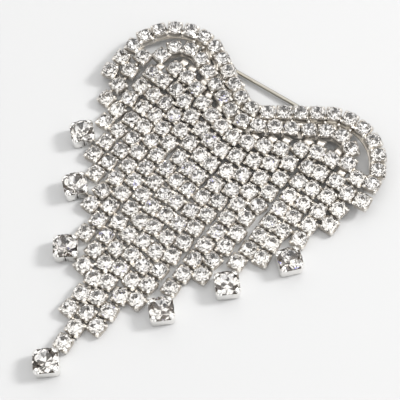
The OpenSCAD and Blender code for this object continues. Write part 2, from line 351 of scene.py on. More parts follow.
@dataclass
class Shape:
    """A mesh as whole arrays: points, the corners of all faces in a row, and face facts."""

    points: np.ndarray
    corners: np.ndarray
    sizes: np.ndarray
    coat: np.ndarray
    smooth: np.ndarray

    @staticmethod
    def of_belts(points: np.ndarray, belts: Sequence[tuple[np.ndarray, int]]) -> "Shape":
        """Makes a flat-shaded shape from points and belts of like faces.

        Args:
            points: array of points.
            belts: for each belt an array with a row of corners for each face, anticlockwise
                as seen from outside, and the belt's coat.

        Returns:
            The shape.
        """
        sizes = np.concatenate([np.full(len(belt), belt.shape[1]) for belt, _ in belts])
        return Shape(points, np.concatenate([belt.ravel() for belt, _ in belts]), sizes,
                     np.concatenate([np.full(len(belt), coat) for belt, coat in belts]),
                     np.zeros(len(sizes), bool))

    @staticmethod
    def of_grid(points: np.ndarray, coat: int | np.ndarray = Coat.POLISHED, smooth: bool = True,
                round_u: bool = True, caps: tuple[bool, bool] = (False, False)) -> "Shape":
        """Makes a shape from a grid of points.

        Face (i, j) joins the points (i, j), (i, j + 1), (i + 1, j + 1) and (i + 1, j). Rows
        run upwards and columns run anticlockwise, so that faces point outwards.

        Args:
            points: array of rows, columns and 3 coordinates.
            coat: one coat, or one for each face, band by band.
            smooth: True for smooth shading.
            round_u: True where the last column meets the first.
            caps: whether the first and the last row are closed with one face.

        Returns:
            The shape.
        """
        rows, cols = points.shape[:2]
        index = np.arange(rows * cols).reshape(rows, cols)
        ring_index = np.concatenate([index, index[:, :1]], axis=1) if round_u else index
        quads = np.stack([ring_index[:-1, :-1], ring_index[:-1, 1:], ring_index[1:, 1:],
                          ring_index[1:, :-1]], axis=-1).reshape(-1, 4)
        corners, sizes = [quads.ravel()], [np.full(len(quads), 4)]
        if caps[0]:
            corners.append(index[0, ::-1])
            sizes.append([cols])
        if caps[1]:
            corners.append(index[-1])
            sizes.append([cols])
        sizes = np.concatenate(sizes)
        flags = np.full(len(sizes), smooth)
        flags[len(quads):] = False
        bands = np.broadcast_to(np.asarray(coat), (rows - 1, len(quads) // (rows - 1)))
        ends = [bands[i, 0] for i in (0, -1) if caps[i]]
        return Shape(points.reshape(-1, 3).astype(float), np.concatenate(corners), sizes,
                     np.concatenate([bands.ravel(), ends]).astype(int), flags)

    @staticmethod
    def joined(shapes: Iterable["Shape"]) -> "Shape":
        """Puts several shapes into one, each with its own points.

        Args:
            shapes: the shapes, in the order of their points.

        Returns:
            The joined shape.
        """
        shapes = list(shapes)
        starts = np.cumsum([0] + [len(s.points) for s in shapes[:-1]])
        return Shape(np.concatenate([s.points for s in shapes]),
                     np.concatenate([s.corners + n for s, n in zip(shapes, starts)]),
                     np.concatenate([s.sizes for s in shapes]),
                     np.concatenate([s.coat for s in shapes]),
                     np.concatenate([s.smooth for s in shapes]))

    def repeated(self, turns: np.ndarray, origins: np.ndarray) -> "Shape":
        """Copies the shape to many places: each point is turned, then shifted.

        Args:
            turns: one 3 by 3 rotation for each place.
            origins: one point for each place.

        Returns:
            All copies as one shape.
        """
        n, v = len(origins), len(self.points)
        points = np.einsum("nij,vj->nvi", turns, self.points) + origins[:, None, :]
        corners = self.corners[None, :] + (np.arange(n) * v)[:, None]
        return Shape(points.reshape(-1, 3), corners.ravel(), np.tile(self.sizes, n),
                     np.tile(self.coat, n), np.tile(self.smooth, n))

    def moved(self, turn: np.ndarray, origin: Sequence[float]) -> "Shape":
        """Turns and shifts the shape once."""
        return self.repeated(turn[None], np.asarray(origin, float)[None])

    def piece(self, name: str, materials: Sequence[bpy.types.Material]) -> bpy.types.Object:
        """Puts the shape into a new mesh object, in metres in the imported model's frame.

        Args:
            name: the piece's name.
            materials: its materials, in the order of the coats.

        Returns:
            The new object.
        """
        mesh = bpy.data.meshes.new(name)
        points = (self.points - PLAN_MID) * MM
        starts = np.concatenate([[0], np.cumsum(self.sizes)[:-1]])
        mesh.vertices.add(len(points))
        mesh.vertices.foreach_set("co", points.ravel())
        mesh.loops.add(len(self.corners))
        mesh.loops.foreach_set("vertex_index", self.corners)
        mesh.polygons.add(len(self.sizes))
        mesh.polygons.foreach_set("loop_start", starts)
        mesh.polygons.foreach_set("loop_total", self.sizes)
        mesh.polygons.foreach_set("use_smooth", self.smooth)
        for material in materials:
            mesh.materials.append(material)
        mesh.polygons.foreach_set("material_index", self.coat)
        mesh.update(calc_edges=True)
        mesh.validate()
        obj = bpy.data.objects.new(name, mesh)
        bpy.context.scene.collection.objects.link(obj)
        return obj


def turn_z(deg: np.ndarray | float) -> np.ndarray:
    """Rotation matrices about the upright axis.

    Args:
        deg: one angle or several, in degrees.

    Returns:
        One 3 by 3 matrix for each angle.
    """
    a = np.radians(np.atleast_1d(deg).astype(float))
    c, s, o, i = np.cos(a), np.sin(a), np.zeros_like(a), np.ones_like(a)
    return np.stack([np.stack([c, -s, o], -1), np.stack([s, c, o], -1),
                     np.stack([o, o, i], -1)], -2)


def turn_x(deg: np.ndarray | float) -> np.ndarray:
    """The same about the sideways axis: x takes the place of z, y of x and z of y."""
    return turn_z(deg)[:, [2, 0, 1]][:, :, [2, 0, 1]]


def toward(azimuth: float, elevation: float) -> np.ndarray:
    """Unit direction at degrees along the ground, 0 along +X, and degrees above it."""
    a, e = math.radians(azimuth), math.radians(elevation)
    return np.array([math.cos(e) * math.cos(a), math.cos(e) * math.sin(a), math.sin(e)])


def ring(angles: np.ndarray, radius: np.ndarray | float, height: float) -> np.ndarray:
    """Points of a level circle at the given angles, in radians."""
    return np.column_stack([radius * np.cos(angles), radius * np.sin(angles),
                            np.full(len(angles), height)])


def carried(sections: Iterable[tuple[np.ndarray, float]]) -> np.ndarray:
    """Grid of upright outlines, each given as its x and z and the y that it stands at."""
    return np.stack([np.column_stack([line[:, 0], np.full(len(line), y), line[:, 1]])
                     for line, y in sections])


def four_sides(quarter: np.ndarray) -> np.ndarray:
    """Whole outline in plan from a quarter of it, turned by 0, 90, 180 and 270 degrees."""
    return np.concatenate([quarter @ turn_z(90 * k)[0, :2, :2].T for k in range(4)])


def ease(share: np.ndarray | float) -> np.ndarray:
    """Smooth step u^2 (3 - 2u), with u kept from 0 to 1."""
    u = np.clip(share, 0.0, 1.0)
    return u * u * (3 - 2 * u)


def ease_slope(share: np.ndarray | float) -> np.ndarray:
    """Slope 6u (1 - u) of the smooth step."""
    u = np.clip(share, 0.0, 1.0)
    return 6 * u * (1 - u)


@dataclass(frozen=True)
class Sway:
    """Sideways drift of the hanging chains: right at the top, to the left further down."""

    top_shift: float = 0.6
    amount: float = 2.5
    top_y: float = 69.2
    low_y: float = 23.8

    def drift(self, y: np.ndarray | float) -> np.ndarray:
        """Drift at a plan y: the top shift less a smooth step between the two levels."""
        return self.top_shift - self.amount * ease((self.top_y - y) / (self.top_y - self.low_y))

    def slope(self, y: np.ndarray | float) -> np.ndarray:
        """Change of the drift with y."""
        span = self.top_y - self.low_y
        return self.amount * ease_slope((self.top_y - y) / span) / span


def box_shape(x: float, width: float, y: tuple[float, float], z: tuple[float, float]) -> Shape:
    """A plain bar: a rectangle with cut corners, carried from its low to its high level.

    Args:
        x: plan x of its middle.
        width: its width along x.
        y: its lowest and highest plan y.
        z: its lowest and highest level.

    Returns:
        The closed bar, with a 0.06 mm bevel on its upright edges.
    """
    cut, x0, x1 = 0.06, x - width / 2, x + width / 2
    outline = np.array([[x0 + cut, y[0]], [x1 - cut, y[0]], [x1, y[0] + cut], [x1, y[1] - cut],
                        [x1 - cut, y[1]], [x0 + cut, y[1]], [x0, y[1] - cut], [x0, y[0] + cut]])
    grid = np.stack([np.column_stack([outline, np.full(8, level)]) for level in z])
    return Shape.of_grid(grid, smooth=False, caps=(True, True))


@dataclass(frozen=True)
class ArchRow:
    """Half of a heart-shaped row: a round dip, a straight rise and a round lobe."""

    lobe_x: float
    lobe_y: float
    lobe_r: float
    rise_deg: float
    dip_r: float
    cups: int
    pitch: float

    def stations(self) -> tuple[float, np.ndarray, float, float]:
        """Measures of the rise, which touches the dip's arc and the lobe's.

        Returns:
            Its slope in radians, its upper end, and the distances of its two ends.
        """
        rise = math.radians(self.rise_deg)
        end = np.array([self.lobe_x - self.lobe_r * math.sin(rise),
                        self.lobe_y + self.lobe_r * math.cos(rise)])
        d1 = self.dip_r * rise
        return rise, end, d1, d1 + (end[0] - self.dip_r * math.sin(rise)) / math.cos(rise)

    def at(self, dist: np.ndarray) -> tuple[np.ndarray, np.ndarray, np.ndarray]:
        """Places at signed distances from the middle.

        On the dip the point turns about the dip's centre by dist / dip_r. On the rise it moves
        straight along the slope. On the lobe it turns about the lobe's centre, from 90 degrees
        plus the slope down to the end.

        Args:
            dist: distances along the row, negative to the left.

        Returns:
            x, y and heading in degrees.
        """
        side = np.where(dist < 0, -1.0, 1.0)
        d = np.abs(dist)
        rise, end, d1, d2 = self.stations()
        mid_y = end[1] - end[0] * math.tan(rise) + self.dip_r / math.cos(rise)
        turn = d / self.dip_r
        lobe = math.pi / 2 + rise - (d - d2) / self.lobe_r
        zones = [d <= d1, d <= d2]
        x = np.select(zones, [self.dip_r * np.sin(turn), end[0] - (d2 - d) * math.cos(rise)],
                      self.lobe_x + self.lobe_r * np.cos(lobe))
        y = np.select(zones, [mid_y - self.dip_r * np.cos(turn),
                              end[1] - (d2 - d) * math.sin(rise)],
                      self.lobe_y + self.lobe_r * np.sin(lobe))
        heading = np.select(zones, [np.degrees(turn), np.full_like(d, self.rise_deg)],
                            np.degrees(lobe) - 90)
        return side * x, y, side * heading

    def places(self) -> tuple[np.ndarray, np.ndarray]:
        """Rotations and plan origins of the row's cups."""
        x, y, heading = self.at(np.arange(-self.cups, self.cups + 1) * self.pitch)
        return turn_z(heading), np.stack([x, y, np.zeros_like(x)], -1)

    def end_distance(self) -> float:
        """Length of half of the row's line, from the middle to the end of the lobe."""
        rise, _, _, d2 = self.stations()
        return d2 + self.lobe_r * (math.pi / 2 + rise)

    def level(self, x: float, dist: np.ndarray) -> float:
        """Plan y of the row at a plan x, read between places at the given distances."""
        row_x, row_y, _ = self.at(dist)
        return float(np.interp(abs(x), row_x, row_y))


OUTER_ROW = ArchRow(20.0, 69.1, 11.2, 33.3, 6.0, 11, 3.64)
INNER_ROW = ArchRow(19.4, 70.7, 5.05, 29.5, 8.0, 8, 3.7)


@dataclass(frozen=True)
class SmallCup:
    """Stamped square cup of the small chain: scalloped walls and a bright claw on each corner."""

    width: float
    length: float
    seat: float = 1.6
    stone_r: float = 1.75
    claw_deg: float = 11.0

    def shape(self) -> Shape:
        """Cup as a closed grid.

        Columns follow a rounded square: side middle, claw edge, corner, claw edge, four times.
        Rows run from the narrower base up the wall to a rim that is low at the side middles
        and high at the corners, in over the claw's tip and down to the floor inside. Painted
        shade darkens the wall between the claws and, darker, the rim under the stone's edge
        and the floor inside; each claw is polished.

        Returns:
            The cup, its base at height 0.
        """
        a = self.width / 2
        edge = a * math.tan(math.radians(45 - self.claw_deg))
        quarter = np.array([[a, 0.0], [a, edge], [a - 0.08, a - 0.08], [edge, a]])
        claw = np.tile([0.0, 0.7, 1.0, 0.7], 4)
        outline = four_sides(quarter) * [1.0, self.length / self.width]
        unit = outline / np.linalg.norm(outline, axis=1, keepdims=True)
        flat = np.ones(16)
        inner, seat = self.stone_r - 0.17, self.seat
        # Place in plan and height, from the base to the floor.
        rows = [
            (outline * 0.96, 0.0 * flat), (outline, 0.3 * flat),
            (outline * 1.02, (seat - 0.62) * flat),
            (outline * 1.02, seat - 0.35 + 0.15 * claw),
            (unit * (inner + 0.36 * claw)[:, None], seat - 0.2 + 0.33 * claw),
            (unit * (inner - 0.08 * claw)[:, None], seat - 0.24 + 0.62 * claw),
            (unit * (inner - 0.02 + 0.2 * claw)[:, None], seat - 0.3 + 0.3 * claw),
            (unit * 1.2, 0.06 * flat)]
        grid = np.stack([np.column_stack([xy, z]) for xy, z in rows])
        # Painted shade: the wall and rim between the claws, and the floor inside.
        between = np.tile([True, False, False, True], 4)
        wall = np.where(between, Coat.SHADED, Coat.POLISHED)
        rim = np.where(between, Coat.RIM, Coat.POLISHED)
        coat = np.stack([np.full(16, Coat.SHADED), wall, rim, rim, rim,
                         np.full(16, Coat.RIM), np.full(16, Coat.RIM)])
        return Shape.of_grid(grid, coat, smooth=False, caps=(True, True))


@dataclass(frozen=True)
class CutStone:
    """Round machine-cut stone: clear crown, foiled pointed back."""

    radius: float
    crown: float
    depth: float
    table: float = 0.56
    painted_dark_facets: tuple[int, ...] = ()

    def shape(self) -> Shape:
        """Stone with a table, stars, kites, girdle facets, and a back of mains and halves.

        Rings: 8 table corners, 8 crown corners on the kites' common planes, 16 girdle points,
        8 back corners on the mains' common planes, then the point below. A kite's plane holds
        its table corner and its girdle point, so a crown corner at radius r lies at
        crown * (radius - r cos 22.5) / (radius - table). A main's plane holds the point below
        and a girdle point, so a back corner at r lies at depth * (r cos 22.5 / radius - 1).
        Of the 24 back facets, 8 + 8 halves and then 8 mains, the listed ones get a dark foil:
        painted dark reflections.

        Returns:
            The stone, its girdle at height 0.
        """
        eighth = np.radians(45 * np.arange(8))
        half = eighth + math.radians(22.5)
        slant = math.cos(math.radians(22.5))
        table_r = self.radius * self.table
        crown_r = self.radius * (0.42 + 0.42 * self.table)
        crown_z = self.crown * (self.radius - crown_r * slant) / (self.radius - table_r)
        back_r = self.radius * 0.62
        back_z = self.depth * (back_r * slant / self.radius - 1)
        points = np.concatenate([ring(eighth, table_r, self.crown), ring(half, crown_r, crown_z),
                                 ring(np.radians(22.5 * np.arange(16)), self.radius, 0.0),
                                 ring(half, back_r, back_z), [[0.0, 0.0, -self.depth]]])
        k = np.arange(8)
        after, before = (k + 1) % 8, (k - 1) % 8
        crown, girdle = 8 + k, 16 + 2 * k
        girdle_1, girdle_2 = 16 + (2 * k + 1) % 16, 16 + (2 * k + 2) % 16
        back, tip = 32 + k, np.full(8, 40)
        belts = [(k[None], Coat.GLASS)]
        for belt in ((k, crown, after), (k, 8 + before, girdle, crown),
                     (crown, girdle, girdle_1), (crown, girdle_1, girdle_2)):
            belts.append((np.stack(belt, -1), Coat.GLASS))
        for belt in ((back, girdle_1, girdle), (back, girdle_2, girdle_1),
                     (tip, back, girdle, 32 + before)):
            belts.append((np.stack(belt, -1), Coat.FOIL))
        stone = Shape.of_belts(points, belts)
        stone.coat[np.flatnonzero(stone.coat == Coat.FOIL)[list(self.painted_dark_facets)]] = Coat.PAINTED_DARK_FOIL
        return stone


@dataclass(frozen=True)
class Link:
    """Short flat wire that joins a cup to the next one down the strand."""

    width: float = 0.9
    thick: float = 0.4
    level: float = 0.5
    root: float = 1.65
    cup_end: float = 1.75

    def shape(self, length: float) -> Shape:
        """Six-sided bar: its outline is carried from the cup's wall towards the next cup.

        Args:
            length: how far it reaches past the cup's end.

        Returns:
            The bar, for a cup with its middle at the origin.
        """
        a = np.radians(60 * np.arange(6))
        line = np.column_stack([self.width / 2 * np.cos(a), self.thick / 2 * np.sin(a) * 1.15
                                + self.level + self.thick / 2])
        grid = carried((line, y) for y in (-self.root, -self.cup_end - length))
        return Shape.of_grid(grid, Coat.SHADED, caps=(True, True))


@dataclass(frozen=True)
class SolderBead:
    """Small lump of solder between two rows of cups."""

    radius: float = 0.62
    height: float = 1.35

    def shape(self) -> Shape:
        """Lump: a circle of radius * sqrt(1 - u^2) * (1 + wave / 5) at the height's share u.

        The wave is the cosine of three times the angle, so that the lump isn't quite round.

        Returns:
            The lump, its base at height 0.
        """
        share = np.array([0.0, 0.3, 0.6, 0.85, 0.97])
        a = np.radians(45 * np.arange(8))
        wavy = self.radius * (1 + np.cos(3 * a) / 5)
        grid = np.stack([ring(a, wavy * math.sqrt(1 - u * u), u * self.height) for u in share])
        return Shape.of_grid(grid, Coat.SHADED, caps=(True, True))


def settle(obj: bpy.types.Object, node: str) -> bpy.types.Object:
    """Lets a piece ride on the brooch, names what it stands for and reports it.

    Args:
        obj: the new piece.
        node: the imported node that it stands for.

    Returns:
        The piece.
    """
    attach(obj, BODY)
    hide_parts(node)
    LOG.info("%s: %d faces, stands for %s", obj.name, len(obj.data.polygons), node)
    return obj


@dataclass
class Chain:
    """A hanging cup chain: cups with stones, joined by short links."""

    node: str
    count: int
    start: tuple[float, float]
    end: tuple[float, float]
    drift_share: float = 1.0
    hang: float = 0.0
    sway: Sway = Sway()
    frame_lift: float = 2.2
    drop_steps: int = 5
    rng_seed: int = 7
    wobble_deg: float = 8.0
    wobble_mm: float = 0.2
    nod_deg: float = 6.0
    link_gap: float = 0.15
    hook_width: float = 2.2
    cup: SmallCup = SmallCup(3.42, 3.36)
    stone: CutStone = CutStone(1.74, 0.8, 1.5)
    link: Link = Link()

    def places(self) -> tuple[np.ndarray, np.ndarray, float]:
        """Places of the cups.

        Cups stand at even steps on the line from start to end, moved sideways by their share
        of the drift, and turn with the line. Their height falls from the frame to the surface
        by a smooth step over the first cups, and each tilts with that curve's slope.

        Returns:
            Rotations, origins and pitch of the cups.
        """
        last = max(self.count - 1, 1)
        start, end = np.array(self.start), np.array(self.end)
        pitch = float(np.linalg.norm(end - start)) / last
        k = np.arange(self.count)
        x, y = (start + (end - start) * (k / last)[:, None]).T
        slope = (end[0] - start[0]) / (end[1] - start[1]) + self.drift_share * self.sway.slope(y)
        u = (k + 1) / self.drop_steps
        z = self.frame_lift * (1 - ease(u))
        tilt = np.degrees(np.arctan(ease_slope(u) * self.frame_lift / (self.drop_steps * pitch)))
        turns = turn_z(-np.degrees(np.arctan(slope))) @ turn_x(tilt)
        return turns, np.column_stack([x + self.drift_share * self.sway.drift(y), y, z]), pitch

    def build(self, finishes: Finishes) -> bpy.types.Object:
        """Builds the chain as one piece and settles it in its node's place.

        Each cup turns and shifts, and each stone turns and nods, by a random amount whose seed
        comes from the chain's place.

        Args:
            finishes: the brooch's materials.

        Returns:
            The new piece.
        """
        turns, origins, pitch = self.places()
        rng = np.random.default_rng(self.rng_seed + int(abs(self.start[0] * 10)))
        turns = turns @ turn_z(rng.normal(0, self.wobble_deg, self.count))
        origins[1:-1, 0] += rng.normal(0, self.wobble_mm, len(origins[1:-1]))
        spin = turn_z(rng.uniform(0, 360, self.count))
        nod = turn_x(rng.normal(0, self.nod_deg, self.count))
        seat = np.array([0.0, 0.0, self.cup.seat])
        stones = self.stone.shape().repeated(turns @ spin @ nod,
                                             origins + np.einsum("nij,j->ni", turns, seat))
        parts = [self.cup.shape().repeated(turns, origins), stones]
        if self.count > 1:
            link = self.link.shape(pitch - self.cup.length - self.link_gap)
            parts.append(link.repeated(turns[:-1], origins[:-1]))
        if self.hang > 0:
            hook = replace(self.link, width=self.hook_width).shape(self.hang)
            parts.append(hook.moved(turns[0] @ turn_z(180.0)[0], origins[0]))
        obj = Shape.joined(parts).piece(self.node + "_chain", finishes.set_chain())
        return settle(obj, self.node)


@dataclass
class Fringe:
    """All hanging chains: fifteen strands and four short tails."""

    step: float = 3.4
    outermost_x: float = 24.0
    hang_room: float = 3.3
    hang_most: float = 1.6
    # Cups, first y, last y and last x of each pair of strands, from the middle out.
    table: tuple[tuple[int, float, float, float], ...] = (
        (16, 62.45, 5.2, 0.0), (14, 63.2, 11.6, 3.45), (12, 64.35, 20.65, 6.8),
        (11, 65.8, 26.7, 10.9), (10, 68.15, 32.65, 14.25), (9, 69.45, 39.05, 18.3),
        (8, 69.75, 42.65, 21.7), (5, 65.85, 50.65, 25.2))
    # Name, cups, first x and y, and last x and y of each tail.
    tails: tuple[tuple[str, int, float, float, float, float], ...] = (
        ("tail_left_inner", 4, -27.85, 68.2, -28.6, 55.5),
        ("tail_left_outer", 2, -31.6, 65.45, -31.9, 61.45),
        ("tail_right_inner", 4, 27.85, 68.9, 28.4, 57.1),
        ("tail_right_outer", 1, 31.55, 64.9, 31.55, 61.0))

    def hang(self, x: float, y: float) -> float:
        """Length of the link that fills the gap between a first cup and the inner row."""
        row_y = INNER_ROW.level(x, np.linspace(0.0, INNER_ROW.end_distance(), 200))
        return float(np.clip(row_y - y - self.hang_room, 0.0, self.hang_most))

    def chains(self) -> list[Chain]:
        """The chains of the two tables.

        Returns:
            The strands from the middle out, right before left as Side has it, then the tails.
        """
        made = []
        for number, (count, first_y, last_y, last_x) in enumerate(self.table):
            top_x = self.outermost_x if number == len(self.table) - 1 else number * self.step
            for side in ([Side.RIGHT] if number == 0 else list(Side)):
                name = f"strand_{side.name.lower()}_{number}" if number else "strand_centre"
                made.append(Chain(name, count, (side.value * top_x, first_y),
                                  (side.value * last_x, last_y),
                                  hang=self.hang(top_x, first_y)))
        return made + [Chain(name, n, (x0, y0), (x1, y1), drift_share=0.0)
                       for name, n, x0, y0, x1, y1 in self.tails]

    def build(self, finishes: Finishes) -> list[bpy.types.Object]:
        """Builds every chain."""
        return [chain.build(finishes) for chain in self.chains()]


@dataclass
class ArchFrame:
    """The soldered frame: two rows of cups on strips, with the pin's hinge and catch."""

    lift: float = 2.2
    strip_w: float = 2.4
    strip_t: float = 0.5
    strip_sink: float = 0.05
    shifts: tuple[float, float] = (0.65, 0.45)
    end_shift: float = 0.2
    end_turn: float = 20.0
    solder_reach: float = 5.0
    wobble_deg: float = 5.0
    nod_deg: float = 8.0
    cup: SmallCup = SmallCup(3.4, 3.4)
    stone: CutStone = CutStone(1.74, 0.8, 1.45)
    hinge_x: float = -16.5
    catch_x: float = 16.5
    pin_y: float = 78.1
    stem_r: float = 0.45
    rivet_r: float = 0.3
    ear_r: float = 0.8
    ear_t: float = 0.6
    eye_play: float = 0.1
    cheek_t: float = 0.5
    catch_play: float = 0.25
    catch_len: float = 2.6
    foot_gap: float = 0.05
    pad_len: float = 3.4
    pad_low: float = 1.15
    pad_high: float = 1.75
    bar_w: float = 1.2
    bar_x: tuple[float, ...] = (-20.0, -13.0, -6.5, 0.0, 6.5, 13.0, 20.0)
    bar_reach: float = 26.0
    face_step: float = 0.03

    def strip(self, row: ArchRow, shift: float, end_shift: float) -> Shape:
        """A rectangle carried along the row, its middle moved towards the strands by shift.

        On the last 20 degrees of each lobe the middle runs at the shift of the ends, reached
        by a smooth step over five degrees.

        Args:
            row: the row of cups that stands on the strip.
            shift: distance of the strip's middle from the row's line.
            end_shift: the same distance at the ends.

        Returns:
            The closed strip.
        """
        end = row.end_distance()
        dist = np.linspace(-end, end, 121)
        x, y, heading = row.at(dist)
        half, z0 = self.strip_w / 2, self.lift - self.strip_t + self.strip_sink
        section = np.array([[0, -half, 0.05], [0, -half + 0.05, 0], [0, half - 0.05, 0],
                            [0, half, 0.05], [0, half, self.strip_t],
                            [0, -half, self.strip_t]])
        left = np.degrees((end - np.abs(dist)) / row.lobe_r)
        shifts = end_shift + (shift - end_shift) * ease((left - self.end_turn) / 5 + 0.5)
        rings = section + np.stack([0 * shifts, -shifts, 0 * shifts], -1)[:, None, :]
        points = np.einsum("nij,nvj->nvi", turn_z(heading), rings)
        points += np.stack([x, y, np.full_like(x, z0)], -1)[:, None, :]
        return Shape.of_grid(points[::-1], Coat.SHADED, smooth=False, caps=(True, True))

    def solder(self) -> Shape:
        """Beads that join the two rows, at half steps of the outer row.

        Each lies midway to the nearest point of the inner row, wherever that point is less
        than five millimetres away.

        Returns:
            All beads as one shape.
        """
        steps = np.arange(-OUTER_ROW.cups, OUTER_ROW.cups) + 0.5
        x, y, _ = OUTER_ROW.at(steps * OUTER_ROW.pitch)
        line = np.stack(INNER_ROW.at(np.linspace(-1, 1, 801) * INNER_ROW.end_distance())[:2], -1)
        away = np.linalg.norm(np.stack([x, y], -1)[:, None] - line, axis=-1)
        near = line[away.argmin(1)]
        places = np.column_stack([(x + near[:, 0]) / 2, (y + near[:, 1]) / 2,
                                  np.full(len(x), self.lift)])
        kept = away.min(1) < self.solder_reach
        turns = turn_z(np.random.default_rng(5).uniform(0, 360, len(x)))
        return SolderBead().shape().repeated(turns[kept], places[kept])

    def ear(self, y: float) -> Shape:
        """Ear of the hinge: half a disc below a square, carried through its thickness.

        Args:
            y: plan y of the ear's middle.

        Returns:
            The closed ear.
        """
        low = np.radians(np.linspace(180, 360, 17))
        top = self.lift - self.ear_r - 0.3
        line = np.concatenate([np.column_stack([np.cos(low), np.sin(low)]) * self.ear_r,
                               [[self.ear_r, top], [-self.ear_r, top]]])
        grid = carried((line + [self.hinge_x, self.ear_r], y + side * self.ear_t / 2)
                       for side in (1, -1))
        return Shape.of_grid(grid, smooth=False, caps=(True, True))

    def rivet(self) -> Shape:
        """Rivet of the hinge: a circle carried along y, with slightly domed heads.

        Returns:
            The closed rivet.
        """
        a = np.radians(np.linspace(0, 360, 25)[:-1])
        disc = np.column_stack([np.cos(a), np.sin(a)])
        span = self.stem_r + self.eye_play + self.ear_t
        # Distance from the stem's middle and radius, from one head to the other.
        stations = [(-span - 0.08, 0.22), (-span, 0.42), (-span + 0.02, self.rivet_r),
                    (span - 0.02, self.rivet_r), (span, 0.42), (span + 0.08, 0.22)]
        grid = carried((disc * r + [self.hinge_x, self.ear_r], self.pin_y + s)
                       for s, r in stations[::-1])
        return Shape.of_grid(grid, caps=(True, True))

    def fittings(self) -> list[Shape]:
        """Hinge ears, rivet, catch cheeks, their pads and the cross bars behind the rows.

        Pads and bars are 0.03 mm thinner than the strips on each face, so that no two faces
        lie in one plane.

        Returns:
            The shapes, one for each fitting.
        """
        z = self.lift - self.strip_t + self.strip_sink
        levels = (z + self.face_step, z + self.strip_t - self.face_step)
        parts = [self.rivet(), self.solder()]
        for side in (-1, 1):
            parts.append(self.ear(
                self.pin_y + side * (self.stem_r + self.eye_play + self.ear_t / 2)))
            mid = self.pin_y + side * (self.stem_r + self.catch_play + self.cheek_t / 2)
            parts.append(box_shape(self.catch_x, self.catch_len,
                                   (mid - self.cheek_t / 2, mid + self.cheek_t / 2),
                                   (self.foot_gap, z + 0.1)))
        for x in (self.hinge_x, self.catch_x):
            parts.append(box_shape(x, self.pad_len, (self.pin_y - self.pad_low,
                                                     self.pin_y + self.pad_high), levels))
        near = np.linspace(0, self.bar_reach, 400)
        for x in self.bar_x:
            parts.append(box_shape(x, self.bar_w, (INNER_ROW.level(x, near),
                                                   OUTER_ROW.level(x, near)), levels))
        return parts

    def build(self, finishes: Finishes) -> list[bpy.types.Object]:
        """Builds the metal as one piece and each row's stones as another.

        Args:
            finishes: the brooch's materials.

        Returns:
            The three new pieces.
        """
        rise = np.array([0.0, 0.0, self.lift])
        seat = rise + [0.0, 0.0, self.cup.seat]
        metal = [self.strip(OUTER_ROW, self.shifts[0], self.end_shift),
                 self.strip(INNER_ROW, self.shifts[1], self.shifts[1])]
        made = []
        rng = np.random.default_rng(3)
        for node, row in (("outer_arch_stones", OUTER_ROW), ("inner_arch_stones", INNER_ROW)):
            turns, origins = row.places()
            turns = turns @ turn_z(rng.normal(0, self.wobble_deg, len(origins)))
            metal.append(self.cup.shape().repeated(turns, origins + rise))
            spin = turn_z(rng.uniform(0, 360, len(origins)))
            nod = turn_x(rng.uniform(-self.nod_deg, self.nod_deg, len(origins)))
            stones = self.stone.shape().repeated(turns @ spin @ nod, origins + seat)
            made.append(settle(stones.piece(node + "_cut", finishes.set_chain()),
                               node))
        obj = Shape.joined(metal + self.fittings()).piece("crown_frame_metal",
                                                          finishes.set_chain())
        return made + [settle(obj, "crown_frame")]


